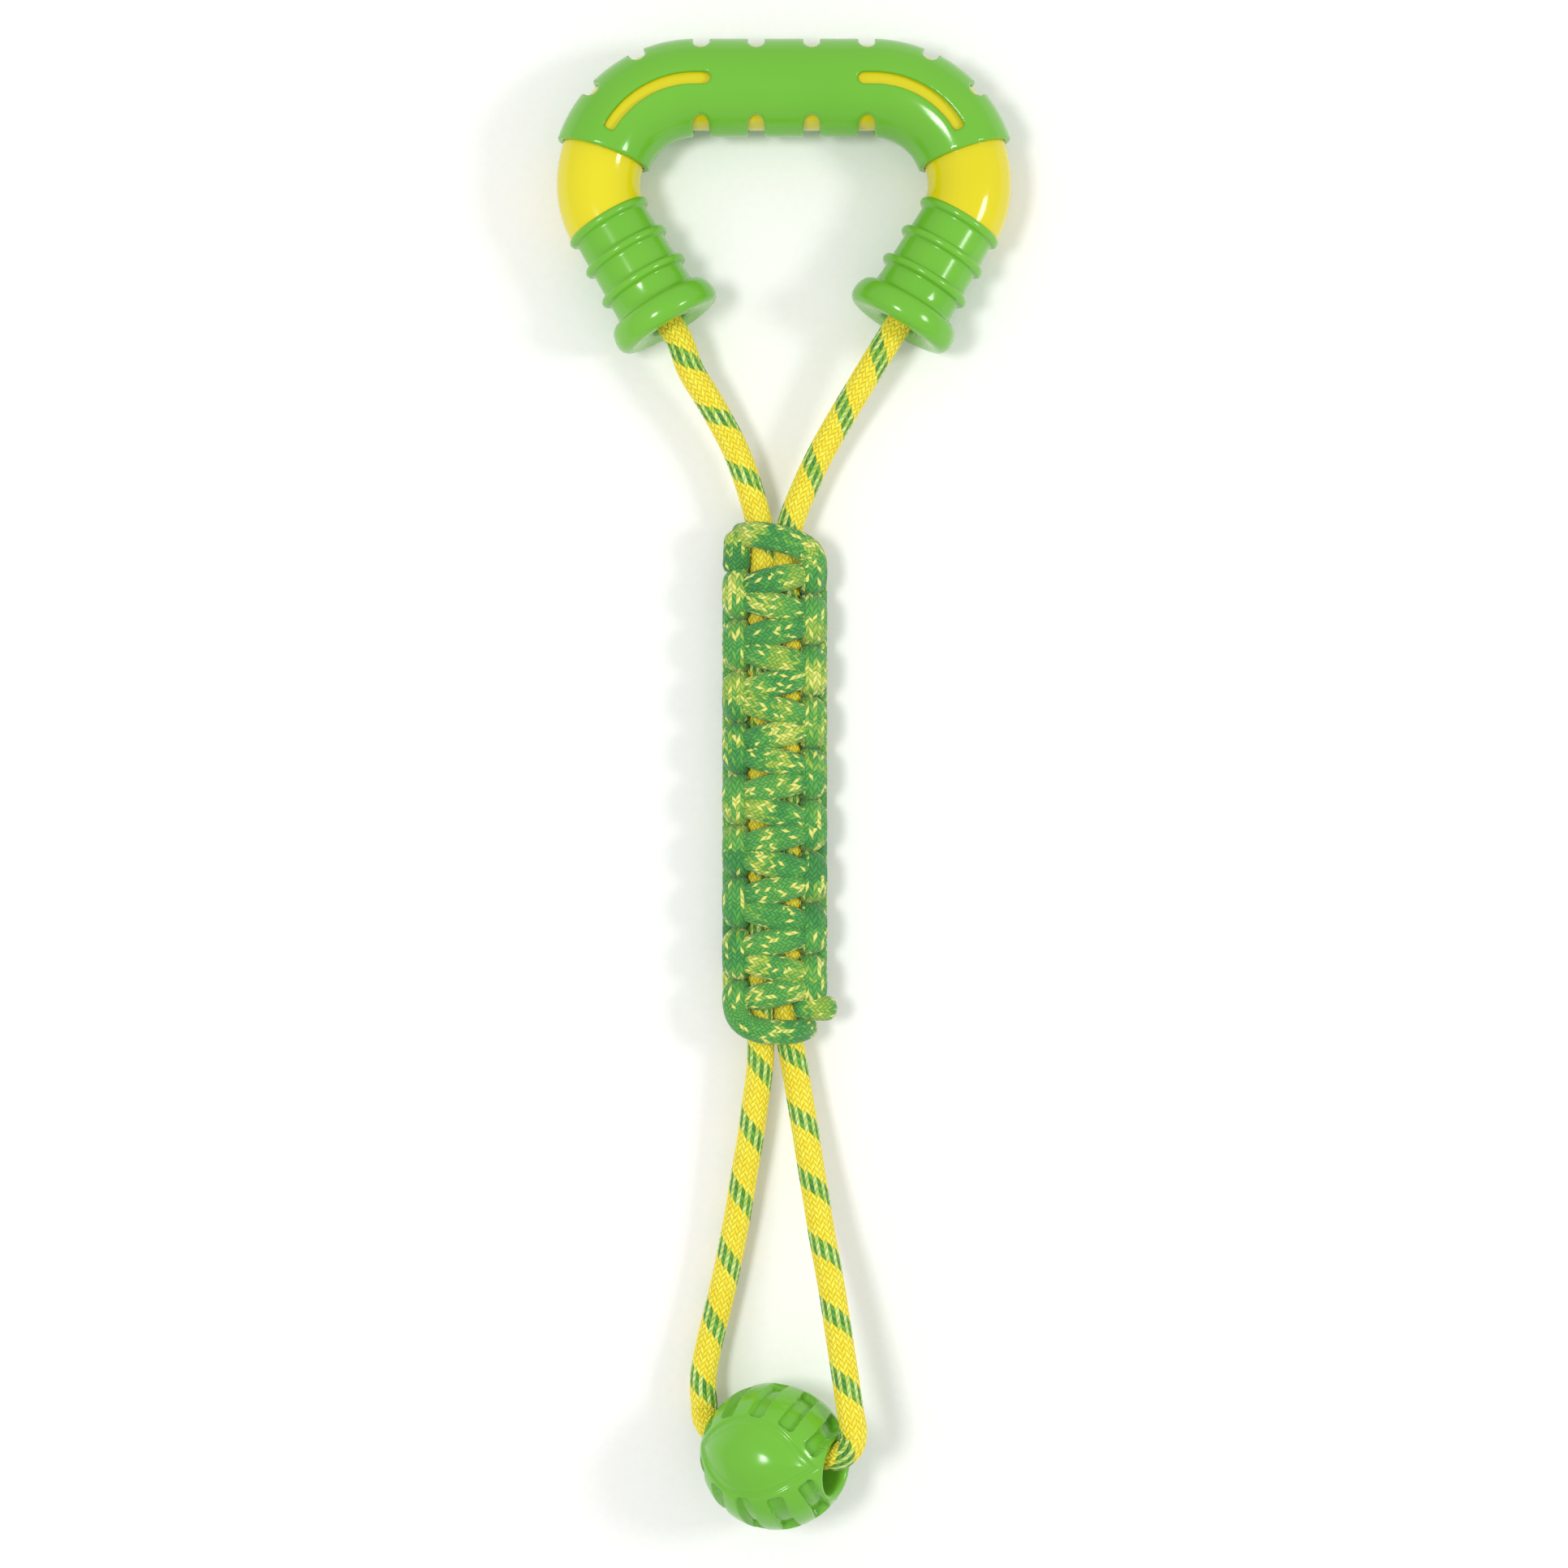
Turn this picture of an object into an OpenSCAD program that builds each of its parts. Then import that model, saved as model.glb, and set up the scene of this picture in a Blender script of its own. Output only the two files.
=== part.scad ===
// Rope tug toy: a bail handle with a soft grip, a rope run through two cuffs,
// a square-knot braid round the middle of the rope, and a ball on its loop.
// Lies flat: X across, Y from the ball towards the grip, Z up from the surface.
// The origin is at the middle of the toy's length and width, on the surface.

/* [Handle] */
// Half length of the straight part of the grip
grip_half = 29.3; // [26:0.1:34]
// Height of the grip's centreline above the origin, along Y
grip_y = 230.8; // [226:0.2:236]
// Centreline radius of the bend beside the grip
bend_r = 32.4; // [30:0.2:36]
// Centreline radius of the bend above each cuff
lower_bend_r = 24.3; // [22:0.1:28]
// Angle by which each cuff leans in
lean = 31; // [24:1:34]
// Outer radius of the rigid core
core_r = 13.9; // [13.5:0.1:14.2]
// Wall of the rigid core
core_wall = 2.7; // [2.2:0.1:3.2]
// Outer radius of the soft grip sleeve
sleeve_r = 16; // [15.5:0.1:17]
// Angle round each bend at which the sleeve ends
sleeve_end = 72; // [60:1:80]

/* [Grip relief] */
// Width of each finger notch
notch_w = 5.4; // [4:0.1:7]
// Distance of each notch's floor from the centreline
notch_floor = 11; // [10:0.1:12.5]
// Spacing of the notches on the straight part
notch_pitch = 18.3; // [15:0.1:19]
// Width of the long slots that show the core
slot_w = 3.8; // [3:0.1:6]
// Where each slot starts, measured from the middle of the grip
slot_start = 26; // [20:0.5:28]
// Angle round each bend at which a slot ends
slot_end = 61; // [40:1:64]

/* [Cuffs] */
// Length of each cuff along its axis
cuff_len = 40.5; // [38:0.5:44]
// Radius of the core's spigot inside each cuff
spigot_r = 11; // [10:0.1:11.5]
// Radius of a cuff's body at its upper end
cuff_r = 13; // [12.5:0.1:13.5]
// Widest radius of a cuff's bell
bell_r = 18.8; // [17:0.1:20]
// Spacing of the three round ribs
rib_pitch = 11.2; // [9:0.1:12]

/* [Rope] */
// Diameter of the rope
rope_d = 9; // [8:0.1:9.6]
// Radius of each stopper knot
knot_r = 10.4; // [9:0.1:10.8]

/* [Braid] */
// Length of the braid
braid_len = 168; // [160:1:176]
// Across position of the braid's middle
braid_x = -3.1; // [-4:0.1:0]
// Diameter of the braid's cord, drawn tight
cord_d = 6.8; // [6:0.1:7.2]
// Number of half knots
half_knots = 19; // [17:2:21]

/* [Ball] */
// Radius of the ball across its bore
ball_r = 23.8; // [23:0.1:25]
// Half length of the ball along its bore
ball_half = 25.6; // [25:0.1:27]
// Radius of the ball's bore
bore_r = 8.6; // [8.2:0.1:9]
// Tilt of the bore, right end up
bore_tilt = 27; // [20:1:34]
// Turn of the bore about Z
bore_turn = -5; // [-8:1:0]
// Roll of the tread about the bore
ball_roll = -7.5; // [-20:0.5:20]
// Length of each tread pocket, round the ball
pocket_len = 20; // [16:0.5:22]
// Width of each tread pocket, along the bore
pocket_w = 5.4; // [4:0.1:6]
// Spacing of the tread pockets
pocket_step = 29; // [27:0.5:30]

/* [Hidden] */
$fn = 64;

green = "#5DB53A";
yellow = "#E3D21F";
rope_yellow = "#F3E21B";
cord_green = "#4FA53A";

// Handle: the bells rest on the surface, so they set the height of its plane.
handle_z = bell_r;
bend_y = grip_y - bend_r;
cuff_x = grip_half + bend_r - lower_bend_r * (1 - cos(lean));
cuff_y = bend_y - lower_bend_r * sin(lean);
core_in = core_r - core_wall;
rope_r = rope_d / 2;
shank_bore_r = 5.2;
// The solid wall that stops each knot, as an angle round the lower bend
end_wall_turn = 8;
mouth_r = 6.2;
rib_r = 1.5;
spigot_end = 30;
// The arch that ends each notch
notch_r = notch_w / 2;
notch_bends = [24.5, 48.5];
slot_r = slot_w / 2;
// Locating pins between the two halves of the core
pin_r = 1.5;
pin_fit = 0.1;
boss_r = 3.2;
pin_len = 4;
pin_x = [-22, 0, 22];

// Braid: two rope runs side by side with the cord knotted round them.
braid_z = 12;
braid_top = braid_len / 2;
run_gap = 4.7;
run_left = braid_x - run_gap;
run_right = braid_x + run_gap;
braid_way = [0, -1, 0];
cord_r = cord_d / 2;
tail_len = 11;
tail_r = 4.1;
band_up = 7.9;

// Ball: it rests on the surface with its bore leaning.
ball_arc = (ball_half * ball_half + ball_r * ball_r) / (2 * ball_r);
ball_z = sqrt(pow(ball_half * sin(bore_tilt), 2) + pow(ball_r * cos(bore_tilt), 2));
ball_at = [-3, -223, ball_z];
bore_way = [cos(bore_tilt) * cos(bore_turn), cos(bore_tilt) * sin(bore_turn), sin(bore_tilt)];
flare_from = ball_half - 4.4;
pocket_floor = 21.7;
panels = 3;
// The rope lies against the bore's upper side and turns out of each mouth.
leg_way = [-sin(bore_turn), cos(bore_turn), 0];
run_off = 3.4;
run_half = 19.8;
turn_r = 8;

// Routes of the rope's free legs, from the handle or braid outwards
cuff_way = [-sin(lean), -cos(lean), 0];
mouth_at = [cuff_x, cuff_y, handle_z] + cuff_len * cuff_way;
upper_left_route = [
    [-mouth_at[0], mouth_at[1], mouth_at[2]], [-35.1, 147.6, 18.8], [-31.8, 138.6, 17.6],
    [-26.5, 129.6, 16], [-21.8, 121.6, 14.6], [-17.4, 113.5, 13.4],
    [-13.9, 105.3, 12.5], [-11.2, 97.2, 12.1], [-9, 89.4, 12], [-7.8, 84, 12]
];
upper_right_route = [
    mouth_at, [35.1, 147.6, 18.8], [29.3, 138.4, 17.6],
    [23.9, 129.6, 16], [19, 121.6, 14.6], [14.3, 113.5, 13.4],
    [10, 105.3, 12.5], [6.3, 97.2, 12.1], [3.2, 89.4, 12], [1.6, 84, 12]
];
lower_left_route = [
    [-7.8, -84, 12], [-7.9, -93, 11.8], [-9.4, -106, 11.3], [-11.2, -119, 10.7],
    [-13.4, -132, 10.1], [-15.5, -145, 9.5], [-18, -158, 9], [-20.8, -171, 8.8],
    [-24, -184, 9.1], [-26.6, -196, 9.9], [-27.2, -203, 10.8]
];
lower_right_route = [
    [1.6, -84, 12], [3.1, -93, 12.3], [5.2, -105, 13.4], [7.2, -117, 15.2],
    [9.1, -129, 17.6], [11.1, -141, 20.5], [13.1, -153, 23.8], [15.4, -165, 27.4],
    [17.3, -177, 30.8], [19.2, -189, 33.8], [20.8, -200, 36.1], [21.9, -207, 36.8]
];

// Heading of a route at point i, with its two end headings given
function heading(route, ends, i) =
    i == 0 ? ends[0] : i == len(route) - 1 ? ends[1] :
    let(step = route[i + 1] - route[i - 1]) step / norm(step);

// One ring of a tube round point i, its first side facing away from out[i]
function ring(route, ends, out, r, sides, i) =
    let(
        way = heading(route, ends, i),
        flat = cross(out[i], way),
        across = flat / norm(flat),
        up = cross(way, across)
    )
    [for (k = [0 : sides - 1])
        route[i] + r * (cos(360 * k / sides) * across + sin(360 * k / sides) * up)];

// A tube swept along a route, with flat ends square to the end headings
module tube(route, ends, out, r, sides = 10) {
    last = len(route) - 1;
    points = [for (i = [0 : last]) each ring(route, ends, out, r, sides, i)];
    walls = [for (i = [0 : last - 1], k = [0 : sides - 1]) [
        i * sides + k, (i + 1) * sides + k,
        (i + 1) * sides + (k + 1) % sides, i * sides + (k + 1) % sides
    ]];
    near_end = [for (k = [0 : sides - 1]) k];
    far_end = [for (k = [sides - 1 : -1 : 0]) last * sides + k];
    polyhedron(points, concat([near_end], walls, [far_end]));
}

// A leg of the rope, which never points straight up
module leg(route, ends) {
    tube(route, ends, [for (p = route) [0, 0, 1]], rope_r);
}

// Point at angle a of the turn between a leg and the bore: side is -1 or 1
function turn_point(side, a) =
    ball_at + side * (run_half + turn_r * sin(a)) * bore_way
    + (run_off + turn_r * (1 - cos(a))) * leg_way;

// Runs a flat outline, drawn about the centreline, along the right half of the handle
module along_half(straight_from, first_to, second_to) {
    translate([straight_from, grip_y, handle_z])
        rotate([90, 0, 90]) linear_extrude(grip_half - straight_from) children();
    translate([grip_half, bend_y, handle_z]) rotate([0, 0, 90]) mirror([0, 1, 0])
        rotate_extrude(angle = first_to) translate([bend_r, 0]) children();
    if (second_to > 0)
        translate([grip_half + bend_r - lower_bend_r, bend_y, handle_z])
            mirror([0, 1, 0]) rotate_extrude(angle = second_to)
                translate([lower_bend_r, 0]) children();
}

// Places a shape drawn along +Z on the right cuff's axis, s from its first rib
module on_cuff(s = 0) {
    translate([cuff_x, cuff_y, handle_z]) rotate([0, 0, -lean]) rotate([90, 0, 0])
        translate([0, 0, s]) children();
}

module both_sides() {
    children();
    mirror([1, 0, 0]) children();
}

// The core's outside, as a solid
module core_body() {
    both_sides() {
        along_half(0, 90, lean) circle(core_r);
        on_cuff(-1) cylinder(r = spigot_r, h = spigot_end + 1);
    }
}

// The core's hollow: a wide run for the knots and a narrow bore for each shank
module core_hollow() {
    both_sides() {
        along_half(0, 90, lean - end_wall_turn) circle(core_in);
        on_cuff(-6) cylinder(r = shank_bore_r, h = spigot_end + 7);
    }
}

// One half of the core: way is 1 for the front, -1 for the rear
module core_half(way) {
    cut = 200;
    union() {
        difference() {
            core_body();
            core_hollow();
            translate([-cut / 2, 100, way > 0 ? handle_z - cut : handle_z]) cube(cut);
        }
        for (x = pin_x) translate([x, grip_y, handle_z]) boss(way);
    }
}

// A boss in the straight part: the front one carries a pin, the rear one its socket
module boss(way) {
    reach = core_in + core_wall / 2;
    if (way > 0) {
        cylinder(r = boss_r, h = reach);
        translate([0, 0, -pin_len]) cylinder(r = pin_r, h = pin_len + 1, $fn = 32);
    } else {
        difference() {
            translate([0, 0, -reach]) cylinder(r = boss_r, h = reach);
            translate([0, 0, -pin_len - 0.5])
                cylinder(r = pin_r + pin_fit, h = pin_len + 1, $fn = 32);
        }
    }
}

module core_front() {
    color(yellow) core_half(1);
}

module core_rear() {
    color(yellow) core_half(-1);
}

// A notch's cutter, along Y from its arch outwards
module notch() {
    reach = 2 * sleeve_r;
    translate([0, notch_floor + notch_r, -reach / 2]) {
        cylinder(r = notch_r, h = reach, $fn = 32);
        translate([-notch_r, 0, 0]) cube([notch_w, reach, reach]);
    }
}

// The slots' cutter on the right half, through the front and the rear, round at its
// inner end
module slot() {
    reach = 2 * sleeve_r;
    along_half(slot_start, slot_end, 0) square([slot_w, reach], center = true);
    translate([slot_start, grip_y, handle_z]) cylinder(r = slot_r, h = reach, center = true);
}

module grip_sleeve() {
    color(green) difference() {
        both_sides() along_half(0, sleeve_end, 0) circle(sleeve_r);
        both_sides() along_half(0, 90, 0) circle(core_r);
        both_sides() slot();
        for (n = [-1.5 : 1 : 1.5]) translate([n * notch_pitch, grip_y, handle_z]) {
            notch();
            mirror([0, 1, 0]) notch();
        }
        both_sides() for (a = notch_bends)
            translate([grip_half, bend_y, handle_z]) rotate([0, 0, -a])
                translate([0, bend_r, 0]) notch();
    }
}

// Outline of a cuff, radius against distance along its axis
module cuff_outline() {
    neck = [15.2, 31.2];
    polygon([
        [spigot_r, 0], [cuff_r, 0], [cuff_r + 0.9, 29.4], neck, [bell_r - 1.3, 32.4],
        [bell_r - 0.4, 34], [bell_r, 36], [bell_r, cuff_len - 3], [bell_r - 0.6, cuff_len - 1.5],
        [bell_r - 1.8, cuff_len - 0.4], [bell_r - 3.6, cuff_len], [mouth_r + 2, cuff_len - 0.8],
        [mouth_r, cuff_len - 0.8], [mouth_r, spigot_end], [spigot_r, spigot_end]
    ]);
    // The first rib's lip laps over the end of the elbow
    difference() {
        for (n = [0 : 2])
            translate([cuff_r + 0.4 + 0.5 * n, n * rib_pitch]) circle(rib_r, $fn = 24);
        translate([0, -2 * rib_r]) square([core_r + 0.1, 2 * rib_r]);
    }
}

module right_cuff() {
    color(green) on_cuff() rotate_extrude() cuff_outline();
}

module cuff_left() {
    mirror([1, 0, 0]) right_cuff();
}

module cuff_right() {
    right_cuff();
}

// A stopper knot above the end wall, its short tail, and the shank down to the mouth
module right_knot() {
    color(rope_yellow) {
        on_cuff(-10) cylinder(r = rope_r, h = cuff_len + 10);
        translate([grip_half, bend_y, handle_z]) rotate([0, 0, 3])
            translate([bend_r, 0, 0]) {
                sphere(knot_r);
                rotate([0, 0, 12]) rotate([-90, 0, 0]) cylinder(r = rope_r, h = knot_r + 6);
            }
    }
}

module rope_knot_left() {
    mirror([1, 0, 0]) right_knot();
}

module rope_knot_right() {
    right_knot();
}

module rope_upper_left() {
    color(rope_yellow) leg(upper_left_route, [[-cuff_way[0], cuff_way[1], 0], braid_way]);
}

module rope_upper_right() {
    color(rope_yellow) leg(upper_right_route, [cuff_way, braid_way]);
}

// A straight run of rope inside the braid
module braid_run(x) {
    color(rope_yellow) translate([x, braid_top, braid_z]) rotate([90, 0, 0])
        cylinder(r = rope_r, h = braid_len);
}

module rope_braid_left() {
    braid_run(run_left);
}

module rope_braid_right() {
    braid_run(run_right);
}

module rope_lower_left() {
    color(rope_yellow)
        leg(concat(lower_left_route, [turn_point(-1, 90)]), [braid_way, -leg_way]);
}

module rope_lower_right() {
    color(rope_yellow)
        leg(concat(lower_right_route, [turn_point(1, 90)]), [braid_way, -leg_way]);
}

// The bight through the ball, from the end of one leg to the end of the other
module rope_ball() {
    steps = [90 : -18 : 0];
    color(rope_yellow) leg(concat(
        [for (a = steps) turn_point(-1, a)],
        [for (a = [0 : 18 : 90]) turn_point(1, a)]
    ), [-leg_way, leg_way]);
}

// The side from which the front strand starts half knot i
function side_of(i) = i % 2 == 0 ? -1 : 1;

// Places a point of the braid: across and up from its middle, t half knots down
function braid_point(across, t, up) = [
    braid_x + across,
    braid_top - cord_r - t * (braid_len - cord_d) / half_knots,
    braid_z + up
];

// One half knot: a band across one face (way is 1 for the front, -1 for the back),
// then a wrap round the far side that runs down the other face to the next band
function half_knot(i, way) = let(s = way * side_of(i)) [
    braid_point(10.2 * s, i, band_up * way), braid_point(-10.2 * s, i, band_up * way),
    braid_point(-13.8 * s, i + 0.1, 1.5 * way), braid_point(-13.2 * s, i + 0.35, -4 * way),
    braid_point(-13.2 * s, i + 0.65, -4 * way), braid_point(-13.8 * s, i + 0.9, 1.5 * way)
];

// A strand's tube, its rings turned to face out of the braid
module strand(route) {
    last = len(route) - 1;
    first_step = route[1] - route[0];
    last_step = route[last] - route[last - 1];
    color(cord_green) tube(
        route, [first_step / norm(first_step), last_step / norm(last_step)],
        [for (p = route) [p[0] - braid_x, 0, p[2] - braid_z]], cord_r, 8
    );
}

module braid_cord_front() {
    strand([for (i = [0 : half_knots - 1]) each half_knot(i, 1)]);
}

module braid_cord_back() {
    strand([for (i = [0 : half_knots - 1]) each half_knot(i, -1)]);
}

// The cord's two melted ends: one tucked down a side, the other sticking out
module braid_tail_top() {
    color(cord_green) translate([braid_x - 14.4, braid_top - 1, braid_z + 3.5])
        rotate([90, 0, 0]) cylinder(r = tail_r, h = tail_len);
}

module braid_tail_bottom() {
    color(cord_green) translate([braid_x + 10, 8.5 - braid_top, braid_z + 3.5])
        rotate([0, 90, 0]) cylinder(r = tail_r, h = tail_len);
}

// The tread pockets' cutter: a fan of five between each pair of smooth panels
module pockets() {
    reach = 10;
    for (row = [0 : panels - 1], n = [-2 : 2])
        rotate([ball_roll + (row + 0.5) * 360 / panels, 0, 0])
            rotate([0, n * pocket_step, 0])
                translate([-pocket_w / 2, -pocket_len / 2, ball_r - reach / 2])
                    cube([pocket_w, pocket_len, reach]);
}

// Flares both ends of the bore, at 45 degrees
module flares() {
    reach = 8;
    for (side = [-1, 1]) rotate([0, side * 90, 0]) translate([0, 0, flare_from])
        cylinder(r1 = bore_r, r2 = bore_r + reach, h = reach);
}

// The ball about its own centre, its bore along X
module ball_body() {
    difference() {
        union() {
            difference() {
                rotate([0, 90, 0]) rotate_extrude() intersection() {
                    translate([ball_r - ball_arc, 0]) circle(ball_arc, $fn = 96);
                    translate([0, -ball_half]) square([ball_r, 2 * ball_half]);
                }
                pockets();
            }
            sphere(pocket_floor, $fn = 96);
        }
        rotate([0, 90, 0]) cylinder(r = bore_r, h = 3 * ball_half, center = true);
        flares();
    }
}

module ball() {
    color(green) translate(ball_at) rotate([0, 0, bore_turn])
        rotate([0, -bore_tilt, 0]) ball_body();
}

core_front();
core_rear();
grip_sleeve();
cuff_left();
cuff_right();
rope_knot_left();
rope_knot_right();
rope_upper_left();
rope_upper_right();
rope_braid_left();
rope_braid_right();
rope_lower_left();
rope_lower_right();
rope_ball();
braid_cord_front();
braid_cord_back();
braid_tail_top();
braid_tail_bottom();
ball();
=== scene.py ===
import math
import bpy
import bmesh
import numpy as np
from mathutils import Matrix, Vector


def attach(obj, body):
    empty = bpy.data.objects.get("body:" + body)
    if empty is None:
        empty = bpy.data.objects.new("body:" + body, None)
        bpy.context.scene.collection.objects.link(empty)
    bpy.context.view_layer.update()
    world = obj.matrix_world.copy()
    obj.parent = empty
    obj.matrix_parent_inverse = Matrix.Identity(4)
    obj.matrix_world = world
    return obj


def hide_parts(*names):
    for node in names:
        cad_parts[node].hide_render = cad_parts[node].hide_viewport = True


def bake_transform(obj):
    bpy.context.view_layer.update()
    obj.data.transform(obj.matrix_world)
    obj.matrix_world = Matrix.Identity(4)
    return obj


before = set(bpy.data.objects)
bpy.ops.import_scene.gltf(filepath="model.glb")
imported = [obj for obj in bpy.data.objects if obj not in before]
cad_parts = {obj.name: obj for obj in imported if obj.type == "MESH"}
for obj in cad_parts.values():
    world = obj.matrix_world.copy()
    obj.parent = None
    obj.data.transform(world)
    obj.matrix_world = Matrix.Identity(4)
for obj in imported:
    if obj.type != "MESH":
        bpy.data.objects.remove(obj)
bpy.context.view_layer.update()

mm = 0.001


def srgb(code):
    # an sRGB hex colour as linear RGBA
    parts = [int(code[i:i + 2], 16) / 255 for i in (1, 3, 5)]
    return tuple(c / 12.92 if c <= 0.04045 else ((c + 0.055) / 1.055) ** 2.4 for c in parts) + (1,)


def addNode(tree, kind, settings=None, links=None):
    # names set the node's own settings, numbers its inputs
    made = tree.nodes.new(kind)
    for key, value in (settings or {}).items():
        if isinstance(key, int):
            made.inputs[key].default_value = value
        elif key in made.inputs:
            made.inputs[key].default_value = value
        else:
            setattr(made, key, value)
    for key, socket in (links or {}).items():
        tree.links.new(socket, made.inputs[key])
    return made


def newMaterial(name):
    material = bpy.data.materials.new(name)
    material.use_nodes = True
    tree = material.node_tree
    return material, tree, tree.nodes["Principled BSDF"]


def placeMesh(name, mesh, material, smooth=True):
    if smooth:
        mesh.polygons.foreach_set("use_smooth", [True] * len(mesh.polygons))
    mesh.materials.clear()
    mesh.materials.append(material)
    obj = bpy.data.objects.new(name, mesh)
    bpy.context.scene.collection.objects.link(obj)
    return obj


# camera, floor and light: the toy is seen from straight above
stage = {
    "cameraAt": (0.0, -0.0007, 1.0188),
    "lens": 69.02,
    "floorHalf": 1.6,
    "floorColour": "#F9F9F7",
    "sky": 0.70,
    # each soft box: where it stands, its size, its power
    "mainLight": ((-0.46, 0.02, 1.28), (0.30, 0.24), 6.5),
    "sideLight": ((1.05, 0.10, 0.95), (0.30, 0.26), 5.0),
}
bpy.context.scene.view_settings.view_transform = "Standard"

camera = bpy.data.objects.new("camera", bpy.data.cameras.new("camera"))
camera.data.sensor_width = 36
camera.data.lens = stage["lens"]
camera.data.clip_start = 0.01
camera.location = stage["cameraAt"]
bpy.context.scene.collection.objects.link(camera)
bpy.context.scene.camera = camera

# matt white sweep: painted board, no gloss at all
floorPaint, tree, shader = newMaterial("mattWhiteBoard")
grain = addNode(tree, "ShaderNodeTexNoise", {"Scale": 400, "Detail": 3},
                {0: addNode(tree, "ShaderNodeTexCoord").outputs["Object"]})
tone = addNode(tree, "ShaderNodeMix",
               {"data_type": "RGBA", 6: srgb("#F4F4F2"), 7: srgb(stage["floorColour"])},
               {0: grain.outputs[0]})
tree.links.new(tone.outputs[2], shader.inputs["Base Color"])
shader.inputs["Roughness"].default_value = 0.95
shader.inputs["Specular IOR Level"].default_value = 0.1

bm = bmesh.new()
bmesh.ops.create_grid(bm, x_segments=8, y_segments=8, size=stage["floorHalf"])
floorMesh = bpy.data.meshes.new("floor")
bm.to_mesh(floorMesh)
bm.free()
placeMesh("floor", floorMesh, floorPaint, smooth=False)

world = bpy.data.worlds.new("studio")
bpy.context.scene.world = world
world.use_nodes = True
world.node_tree.nodes["Background"].inputs[0].default_value = (1, 1, 1, 1)
world.node_tree.nodes["Background"].inputs[1].default_value = stage["sky"]


def softBox(name, at, size, power):
    light = bpy.data.lights.new(name, "AREA")
    light.shape = "RECTANGLE"
    light.size, light.size_y = size
    light.energy = power
    obj = bpy.data.objects.new(name, light)
    obj.location = at
    obj.rotation_euler = (Vector(at) * -1).to_track_quat("-Z", "Y").to_euler()
    bpy.context.scene.collection.objects.link(obj)


softBox("mainLight", *stage["mainLight"])
softBox("sideLight", *stage["sideLight"])
print("stage ready")


# round braids: columns of picks round each, and the length of one pick. The slope is how
# far a pick runs on across its column, in picks
weave = {"rope": (20, 2.2 * mm), "cord": (20, 1.6 * mm), "slope": 0.75}

rope = {
    "radius": 4.5 * mm,
    "relief": 0.42 * mm,
    "ringGap": 0.45 * mm,
    "sides": 80,
    "upperLeft": [
        (-37.37, 151.17, 18.8), (-35.1, 147.6, 18.8), (-31.8, 138.6, 17.6), (-26.5, 129.6, 16),
        (-21.8, 121.6, 14.6), (-17.4, 113.5, 13.4), (-13.9, 105.3, 12.5), (-11.2, 97.2, 12.1),
        (-9, 89.4, 12), (-7.8, 84, 12)],
    "upperRight": [
        (37.37, 151.17, 18.8), (35.1, 147.6, 18.8), (29.3, 138.4, 17.6), (23.9, 129.6, 16),
        (19, 121.6, 14.6), (14.3, 113.5, 13.4), (10, 105.3, 12.5), (6.3, 97.2, 12.1),
        (3.2, 89.4, 12), (1.6, 84, 12)],
    "lowerLeft": [
        (-7.8, -84, 12), (-7.9, -93, 11.8), (-9.4, -106, 11.3), (-11.2, -119, 10.7),
        (-13.4, -132, 10.1), (-15.5, -145, 9.5), (-18, -158, 9), (-20.8, -171, 8.8),
        (-24, -184, 9.1), (-26.6, -196, 9.9), (-27.2, -203, 10.8)],
    "lowerRight": [
        (1.6, -84, 12), (3.1, -93, 12.3), (5.2, -105, 13.4), (7.2, -117, 15.2),
        (9.1, -129, 17.6), (11.1, -141, 20.5), (13.1, -153, 23.8), (15.4, -165, 27.4),
        (17.3, -177, 30.8), (19.2, -189, 33.8), (20.8, -200, 36.1), (21.9, -207, 36.8)],
    # the two straight runs inside the braid: across, and the places along it
    "runs": (-7.8, 1.6),
    "runAlong": (56, 28, 0, -28, -56),
    "runHeight": 12,
    # each shank's places on its cuff's axis, then the knot in the hollow of the bend
    "shankAt": (-6, 4, 16, 28),
    "knotAt": (61.66, 200.1, 18.8),
    "knotSize": 1.95,
    "knotSteps": 14,
    "knotTurn": 15,
    "knotRise": 1.2,
    "knotSpread": 8.4,
    "tailAt": (15.5, 9),
    # angles of the turn between the bore (0) and a leg (90)
    "turnAngles": (90, 72, 54, 36, 18, 0),
}

# where each cuff sits, from its first rib
cuff = {
    "start": (58.229, 185.885, 18.8),
    "lean": 31,
}

# where the ball sits, which way its bore runs and how the rope turns out of it
ball = {
    "at": Vector((-3, -223, 24.182)),
    "roll": 7.5,
    "boreWay": Vector((0.88762, -0.07766, 0.45399)),
    "legWay": Vector((0.0872, 0.9962, 0)),
    "runHalf": 19.8,
    "runOff": 3.4,
    "turnRadius": 8,
}


def turnPoint(side, angle):
    # the rope's middle, from inside the bore (0) round to a leg (90)
    a = math.radians(angle)
    alongBore = ball["runHalf"] + ball["turnRadius"] * math.sin(a)
    alongLeg = ball["runOff"] + ball["turnRadius"] * (1 - math.cos(a))
    return tuple(ball["at"] + side * alongBore * ball["boreWay"] + alongLeg * ball["legWay"])


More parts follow.
